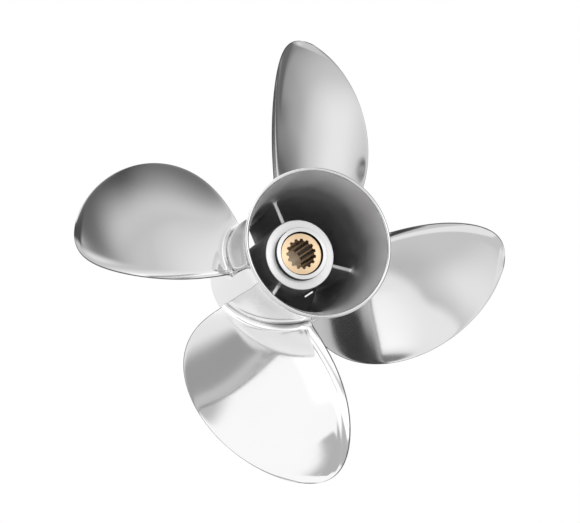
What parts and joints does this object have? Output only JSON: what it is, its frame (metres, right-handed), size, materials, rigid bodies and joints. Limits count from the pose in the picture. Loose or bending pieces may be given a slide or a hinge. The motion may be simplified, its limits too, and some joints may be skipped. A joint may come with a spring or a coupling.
{
  "type": "ship propeller",
  "caption": "Right-hand polished stainless steel outboard propeller with an exhaust passage through its flared hub and a splined bronze sleeve bonded in a rubber bush.",
  "frame": {"origin": "centre of the barrel's forward end face, on the shaft axis", "axes": "+Z along the shaft axis from the forward face to the flared aft rim; +X through the root of blade_1, with blade_2, blade_3 and blade_4 each a quarter turn further anticlockwise seen from aft"},
  "size_m": [0.3432, 0.3432, 0.1615],
  "materials": {
    "polished_stainless": "mirror-polished cast stainless steel",
    "blasted_stainless": "dark grey satin as-cast stainless steel",
    "machined_stainless": "fine-turned stainless steel",
    "machined_bronze": "turned and broached bronze",
    "black_rubber": "moulded black rubber"
  },
  "bodies": {
    "root": {"hub_barrel": "polished_stainless", "exhaust_flare": "polished_stainless", "inner_hub": "blasted_stainless", "aft_collar": "machined_stainless", "rib_1": "blasted_stainless", "rib_2": "blasted_stainless", "rib_3": "blasted_stainless", "rubber_bush": "black_rubber", "splined_sleeve": "machined_bronze", "blade_1": "polished_stainless", "blade_2": "polished_stainless", "blade_3": "polished_stainless", "blade_4": "polished_stainless"}
  },
  "joints": []
}
